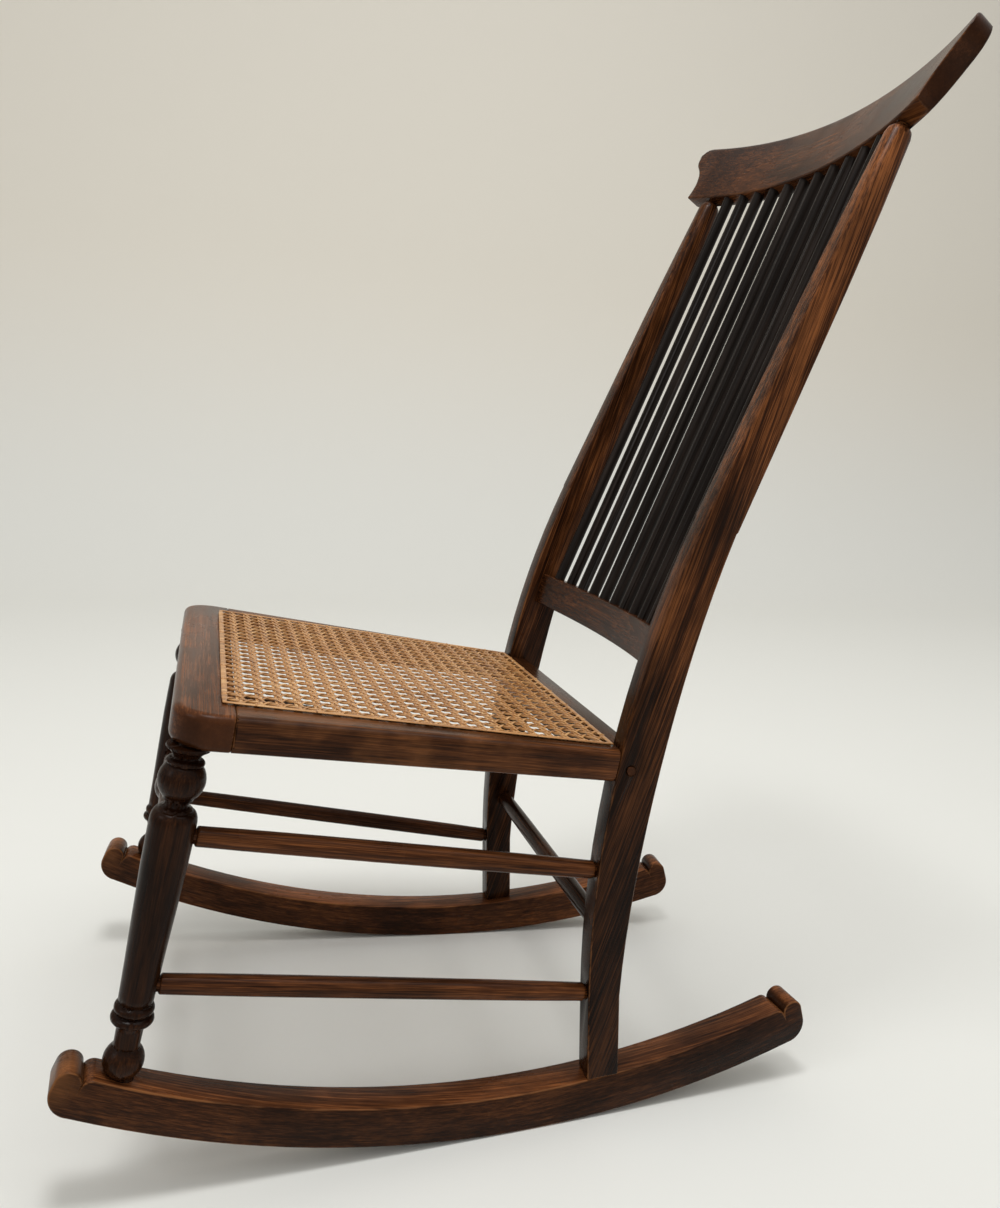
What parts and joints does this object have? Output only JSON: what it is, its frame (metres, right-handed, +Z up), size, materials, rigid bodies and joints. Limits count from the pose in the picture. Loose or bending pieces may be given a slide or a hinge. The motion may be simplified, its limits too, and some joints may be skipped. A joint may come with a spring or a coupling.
{
  "type": "rocking chair",
  "caption": "Low armless wooden rocking chair with a caned seat, turned front legs, plain stretchers, curved rockers and a raked back of slim spindles under a bowed crest rail.",
  "frame": {"origin": "on the floor, under the middle of the chair's bounding box", "axes": "+Z up, the sitter faces -Y, and the sitter's left is +X"},
  "size_m": [0.478, 0.7551, 0.9964],
  "materials": {
    "frame_wood": "worn satin varnish",
    "dark_wood": "dark satin stain",
    "cane": "glossy rattan cane, aged"
  },
  "bodies": {
    "root": {"left_rocker": "frame_wood", "right_rocker": "frame_wood", "left_front_leg": "frame_wood", "right_front_leg": "frame_wood", "left_back_post": "frame_wood", "right_back_post": "frame_wood", "front_seat_rail": "frame_wood", "left_seat_rail": "frame_wood", "right_seat_rail": "frame_wood", "rear_seat_rail": "frame_wood", "cane_panel": "cane", "cane_binder": "cane", "seat_pegs": "dark_wood", "lower_back_rail": "frame_wood", "crest_rail": "frame_wood", "spindle_1": "dark_wood", "spindle_2": "dark_wood", "spindle_3": "dark_wood", "spindle_4": "dark_wood", "spindle_5": "dark_wood", "spindle_6": "dark_wood", "spindle_7": "dark_wood", "spindle_8": "dark_wood", "spindle_9": "dark_wood", "spindle_10": "dark_wood", "spindle_11": "dark_wood", "left_upper_stretcher": "frame_wood", "right_upper_stretcher": "frame_wood", "left_lower_stretcher": "frame_wood", "right_lower_stretcher": "frame_wood", "front_stretcher": "frame_wood", "rear_stretcher": "frame_wood"}
  },
  "joints": []
}
